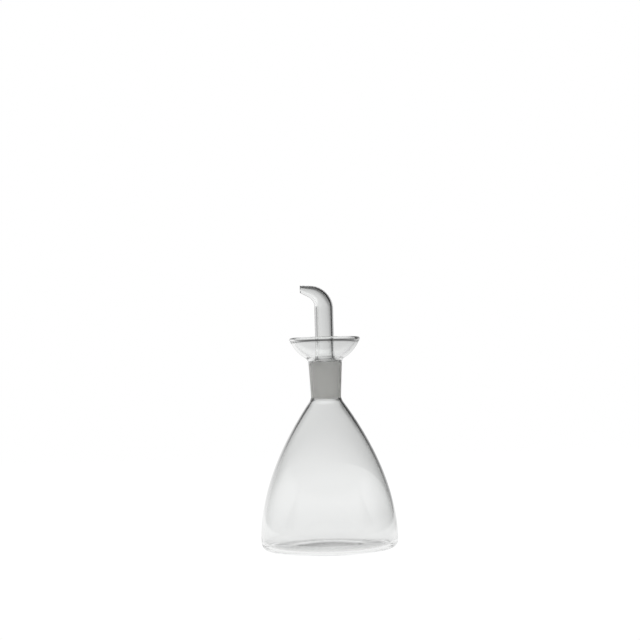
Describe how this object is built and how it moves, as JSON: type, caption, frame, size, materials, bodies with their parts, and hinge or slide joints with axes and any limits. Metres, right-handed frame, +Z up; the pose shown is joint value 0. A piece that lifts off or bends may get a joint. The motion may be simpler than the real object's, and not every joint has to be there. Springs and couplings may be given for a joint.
{
  "type": "glass cruet",
  "caption": "Clear glass oil cruet: a bell-shaped bottle with a drip cup round its mouth, and a pourer with a ground plug and a bent spout.",
  "frame": {"origin": "centre of the base, on the surface that the cruet stands on", "axes": "+Z up along the bottle's axis, the spout bends towards -X"},
  "size_m": [0.1072, 0.1072, 0.2069],
  "materials": {
    "bottle_glass": "clear blown borosilicate glass, polished, with a fine satin ground zone inside the neck",
    "pourer_glass": "clear drawn borosilicate glass, polished, with a fine satin ground zone on the plug"
  },
  "bodies": {
    "root": {"bottle": "bottle_glass", "pourer": "pourer_glass"}
  },
  "joints": []
}
